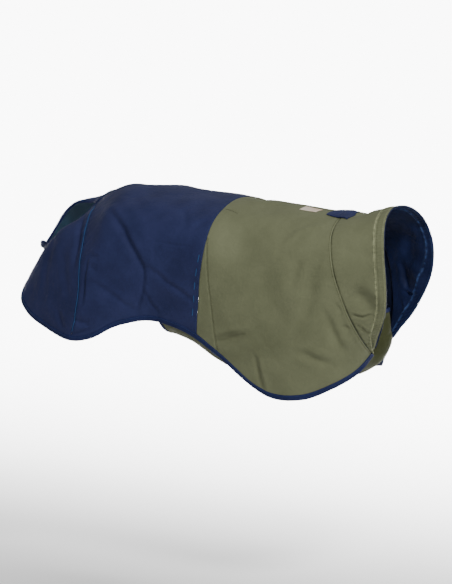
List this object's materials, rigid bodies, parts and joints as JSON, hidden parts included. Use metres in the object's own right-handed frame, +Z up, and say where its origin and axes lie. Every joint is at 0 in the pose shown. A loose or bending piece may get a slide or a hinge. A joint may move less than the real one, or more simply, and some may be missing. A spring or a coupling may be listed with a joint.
{
  "type": "dog rain jacket",
  "caption": "Hollow rain jacket for a dog in its worn shape: raised collar, two-colour shell, panel between the front legs, bound tail opening and open underside.",
  "frame": {"origin": "on the spine, at the top of the seam between the collar and the back, where the wearer's withers hold the jacket up", "axes": "+X runs toward the wearer's head along the back, +Y to the wearer's left and +Z up"},
  "size_m": [0.6496, 0.2725, 0.3058],
  "materials": {
    "olive_shell": "coated plain-weave polyester shell, soft low sheen",
    "navy_shell": "coated plain-weave polyester shell, soft low sheen",
    "collar_lining": "smooth woven lining, faint satin sheen",
    "navy_binding": "folded woven tape, matt",
    "label": "printed woven label, plain"
  },
  "bodies": {
    "root": {"front_panel": "olive_shell", "saddle": "navy_shell", "wedge_right": "olive_shell", "wedge_left": "olive_shell", "thigh_right": "navy_shell", "thigh_left": "navy_shell", "collar_shell": "olive_shell", "collar_lining": "collar_lining", "chest_panel": "olive_shell", "throat_binding": "navy_binding", "belly_binding": "navy_binding", "leg_binding_right": "navy_binding", "leg_binding_left": "navy_binding", "hem_binding": "navy_binding", "tail_binding": "navy_binding", "leash_flap": "navy_shell", "label": "label", "tail_tab": "navy_binding"}
  },
  "joints": []
}
